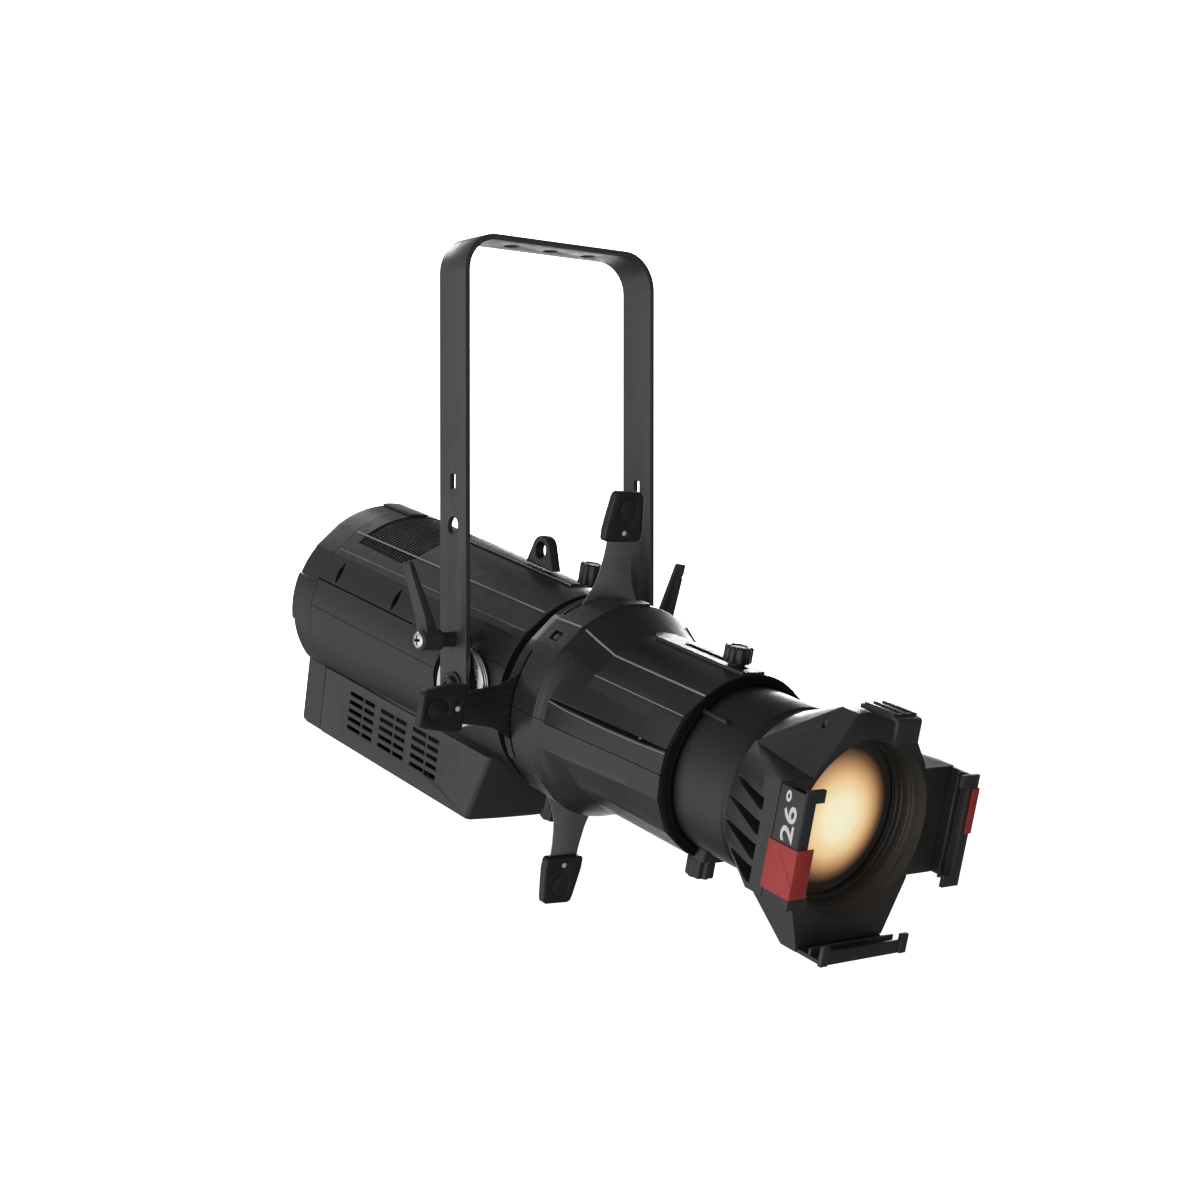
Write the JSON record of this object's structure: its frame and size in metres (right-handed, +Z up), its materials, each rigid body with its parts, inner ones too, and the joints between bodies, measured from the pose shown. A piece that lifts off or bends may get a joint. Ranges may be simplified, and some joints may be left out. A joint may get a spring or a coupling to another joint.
{
  "type": "ellipsoidal spotlight",
  "caption": "Stage profile spotlight: louvred lamp housing, rotating shutter barrel and sliding lens tube, hung in a tilting yoke.",
  "frame": {"origin": "centre of the middle hole in the yoke's crown, on the crown's top face", "axes": "+Z up along that hole, +X along the tilt axis, -Y towards the lens; the lamp body hangs nose down by 14.26 degrees at rest"},
  "size_m": [0.3426, 0.686, 0.5397],
  "materials": {
    "black_paint": "black powder coat, fine texture",
    "black_steel": "black powder coat on steel strap",
    "black_plastic": "moulded, fine grain",
    "soft_black": "matt",
    "blade_steel": "heat-darkened stainless",
    "bright_metal": "zinc plated",
    "aluminium": "turned",
    "glass": "polished",
    "circuit": "solder mask",
    "red_mark": "printed label",
    "screen": "display cover"
  },
  "bodies": {
    "yoke": {"yoke_bracket": "black_steel", "pivot_bolt_left": "bright_metal", "pivot_bolt_right": "bright_metal", "friction_pad_left": "soft_black", "friction_pad_right": "soft_black"},
    "lever_left": {"tilt_lever_left": "black_plastic", "lever_bolt_left": "bright_metal"},
    "lever_right": {"tilt_lever_right": "black_plastic", "lever_bolt_right": "bright_metal"},
    "housing": {"upper_shell": "black_paint", "lower_shell": "black_paint", "driver_box": "black_paint", "rear_cap": "black_paint", "crown_strip": "black_paint", "top_grille": "soft_black", "safety_eye": "black_paint", "rear_panel": "soft_black", "display_window": "screen", "power_inlet": "soft_black", "power_outlet": "soft_black", "data_inlet": "aluminium", "data_outlet": "aluminium", "led_board": "circuit", "reflector": "bright_metal", "heat_sink": "aluminium", "fan_frame": "soft_black", "bearing_ring": "soft_black", "friction_disc_left": "aluminium", "friction_disc_right": "aluminium"},
    "fan": {"fan_rotor": "soft_black"},
    "lock_top": {"lock_knob_top": "black_plastic"},
    "lock_bottom": {"lock_knob_bottom": "black_plastic"},
    "barrel": {"barrel_upper": "black_paint", "barrel_lower": "black_paint", "barrel_collar": "soft_black", "gate_plate": "soft_black"},
    "lens": {"lens_tube": "black_plastic", "rear_lens": "glass", "front_lens": "glass", "gel_holder": "black_plastic", "frame_clip_left": "black_plastic", "frame_clip_right": "black_plastic", "frame_clip_bottom": "black_plastic", "red_tag_left": "red_mark", "red_tag_right": "red_mark"},
    "latch": {"gel_latch": "black_plastic"},
    "focus_top": {"focus_knob_top": "black_plastic"},
    "focus_bottom": {"focus_knob_bottom": "black_plastic"},
    "button_1": {"menu_button_1": "black_plastic"},
    "button_2": {"menu_button_2": "black_plastic"},
    "button_3": {"menu_button_3": "black_plastic"},
    "button_4": {"menu_button_4": "black_plastic"},
    "shutter_top": {"shutter_blade_top": "blade_steel", "shutter_grip_top": "black_plastic"},
    "shutter_bottom": {"shutter_blade_bottom": "blade_steel", "shutter_grip_bottom": "black_plastic"},
    "shutter_left": {"shutter_blade_left": "blade_steel", "shutter_grip_left": "black_plastic"},
    "shutter_right": {"shutter_blade_right": "blade_steel", "shutter_grip_right": "black_plastic"}
  },
  "joints": [
    {"name": "tilt", "type": "hinge", "parent": "yoke", "child": "housing", "pos_m": [0, 0, -0.3608], "axis": [1, 0, 0], "range_deg": [-38, 75]},
    {"name": "lever_left_turn", "type": "hinge", "parent": "yoke", "child": "lever_left", "pos_m": [-0.09795, 0, -0.3228], "axis": [1, 0, 0], "range_deg": [-45, 5]},
    {"name": "lever_right_turn", "type": "hinge", "parent": "yoke", "child": "lever_right", "pos_m": [0.09795, 0, -0.3228], "axis": [1, 0, 0], "range_deg": [-60, 0]},
    {"name": "barrel_turn", "type": "hinge", "parent": "housing", "child": "barrel", "pos_m": [0, -0.04845, -0.36909], "axis": [0, 0.9692, 0.2463], "range_deg": [-25, 25]},
    {"name": "focus_slide", "type": "slide", "parent": "barrel", "child": "lens", "axis": [0, 0.9692, 0.2463], "range_m": [-0.008, 0.046]},
    {"name": "shutter_top_slide", "type": "slide", "parent": "barrel", "child": "shutter_top", "axis": [0, 0.2463, -0.9692], "range_m": [0, 0.04]},
    {"name": "shutter_bottom_slide", "type": "slide", "parent": "barrel", "child": "shutter_bottom", "axis": [0, -0.2463, 0.9692], "range_m": [0, 0.04]},
    {"name": "shutter_left_slide", "type": "slide", "parent": "barrel", "child": "shutter_left", "axis": [1, 0, 0], "range_m": [0, 0.04]},
    {"name": "shutter_right_slide", "type": "slide", "parent": "barrel", "child": "shutter_right", "axis": [-1, 0, 0], "range_m": [0, 0.04]},
    {"name": "fan_spin", "type": "hinge", "parent": "housing", "child": "fan", "pos_m": [0, 0.14636, -0.31958], "axis": [0, 0.9692, 0.2463], "continuous": true},
    {"name": "lock_top_turn", "type": "hinge", "parent": "housing", "child": "lock_top", "pos_m": [0, -0.05417, -0.27149], "axis": [0, -0.2463, 0.9692], "range_deg": [0, 360]},
    {"name": "lock_bottom_turn", "type": "hinge", "parent": "housing", "child": "lock_bottom", "pos_m": [0, -0.00687, -0.45758], "axis": [0, 0.2463, -0.9692], "range_deg": [0, 360]},
    {"name": "focus_top_turn", "type": "hinge", "parent": "lens", "child": "focus_top", "pos_m": [0, -0.22613, -0.33171], "axis": [0, -0.2463, 0.9692], "range_deg": [0, 360]},
    {"name": "focus_bottom_turn", "type": "hinge", "parent": "lens", "child": "focus_bottom", "pos_m": [0, -0.18672, -0.48678], "axis": [0, 0.2463, -0.9692], "range_deg": [0, 360]},
    {"name": "latch_turn", "type": "hinge", "parent": "lens", "child": "latch", "pos_m": [0, -0.36136, -0.35988], "axis": [-1, 0, 0], "range_deg": [0, 100]},
    {"name": "button_1_press", "type": "slide", "parent": "housing", "child": "button_1", "axis": [0, -0.9692, -0.2463], "range_m": [0, 0.0012], "stiffness_N_per_m": 400, "springref_m": -0.0015},
    {"name": "button_2_press", "type": "slide", "parent": "housing", "child": "button_2", "axis": [0, -0.9692, -0.2463], "range_m": [0, 0.0012], "stiffness_N_per_m": 400, "springref_m": -0.0015},
    {"name": "button_3_press", "type": "slide", "parent": "housing", "child": "button_3", "axis": [0, -0.9692, -0.2463], "range_m": [0, 0.0012], "stiffness_N_per_m": 400, "springref_m": -0.0015},
    {"name": "button_4_press", "type": "slide", "parent": "housing", "child": "button_4", "axis": [0, -0.9692, -0.2463], "range_m": [0, 0.0012], "stiffness_N_per_m": 400, "springref_m": -0.0015}
  ]
}
